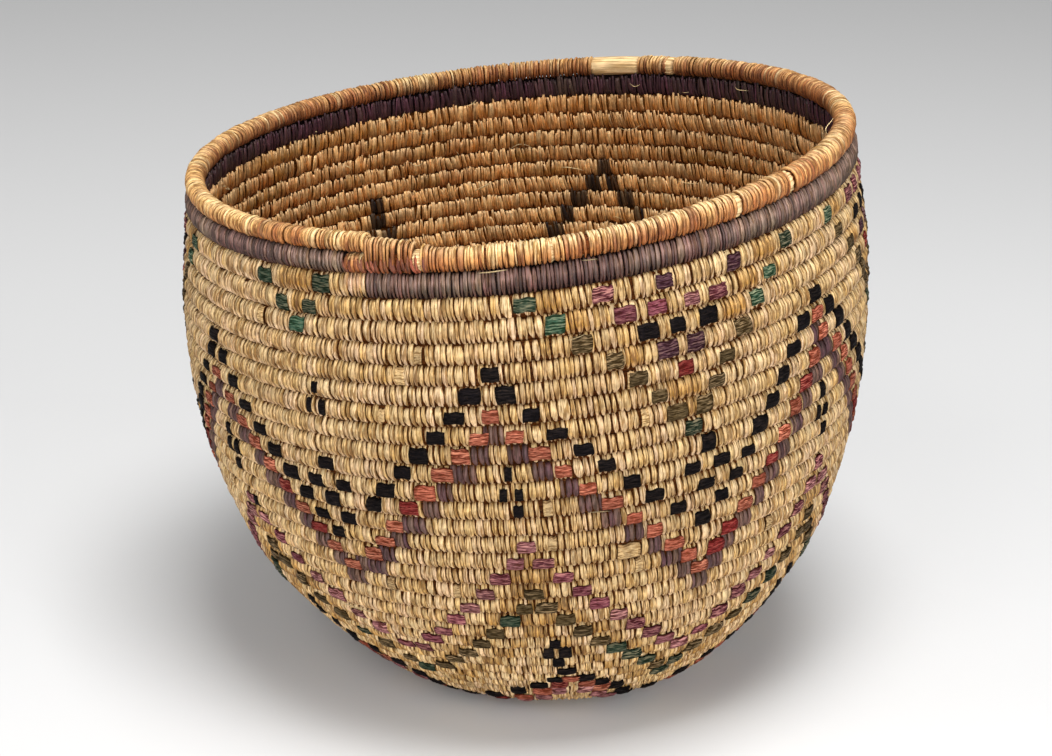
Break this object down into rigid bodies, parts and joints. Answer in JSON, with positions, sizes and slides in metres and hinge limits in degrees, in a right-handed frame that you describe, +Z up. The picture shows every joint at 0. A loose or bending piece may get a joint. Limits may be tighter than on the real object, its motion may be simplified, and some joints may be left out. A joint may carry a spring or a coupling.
{
  "type": "coiled grass basket",
  "caption": "Round coiled grass storage basket with a small flat base, a full belly, a slightly drawn-in open mouth and a traditional geometric zigzag pattern",
  "frame": {"origin": "on the floor, under the middle of the basket's bounding box", "axes": "+Z up, out of the mouth; -Y to the front, where the rim's tapered end lies left of the middle; +X to the right, where the rim is highest"},
  "size_m": [0.2994, 0.2946, 0.2497],
  "materials": {
    "straw_coil": "matt, fibrous",
    "purple_coil": "matt, fibrous",
    "orange_rim": "satin, fibrous",
    "bare_grass": "satin, fibrous"
  },
  "bodies": {
    "root": {"start_knot": "straw_coil", "base_turn_01": "straw_coil", "base_turn_02": "straw_coil", "base_turn_03": "straw_coil", "base_turn_04": "straw_coil", "base_turn_05": "straw_coil", "wall_turn_01": "straw_coil", "wall_turn_02": "straw_coil", "wall_turn_03": "straw_coil", "wall_turn_04": "straw_coil", "wall_turn_05": "straw_coil", "wall_turn_06": "straw_coil", "wall_turn_07": "straw_coil", "wall_turn_08": "straw_coil", "wall_turn_09": "straw_coil", "wall_turn_10": "straw_coil", "wall_turn_11": "straw_coil", "wall_turn_12": "straw_coil", "wall_turn_13": "straw_coil", "wall_turn_14": "straw_coil", "wall_turn_15": "straw_coil", "wall_turn_16": "straw_coil", "wall_turn_17": "straw_coil", "wall_turn_18": "straw_coil", "wall_turn_19": "straw_coil", "wall_turn_20": "straw_coil", "wall_turn_21": "straw_coil", "wall_turn_22": "straw_coil", "wall_turn_23": "straw_coil", "wall_turn_24": "straw_coil", "wall_turn_25": "straw_coil", "wall_turn_26": "straw_coil", "wall_turn_27": "straw_coil", "wall_turn_28": "straw_coil", "wall_turn_29": "straw_coil", "wall_turn_30": "straw_coil", "wall_turn_31": "straw_coil", "purple_turn": "purple_coil", "rim_stems": "bare_grass", "rim_wrap_right": "orange_rim", "rim_wrap_bridge": "orange_rim", "rim_wrap_left": "orange_rim", "rim_tail": "orange_rim"}
  },
  "joints": []
}
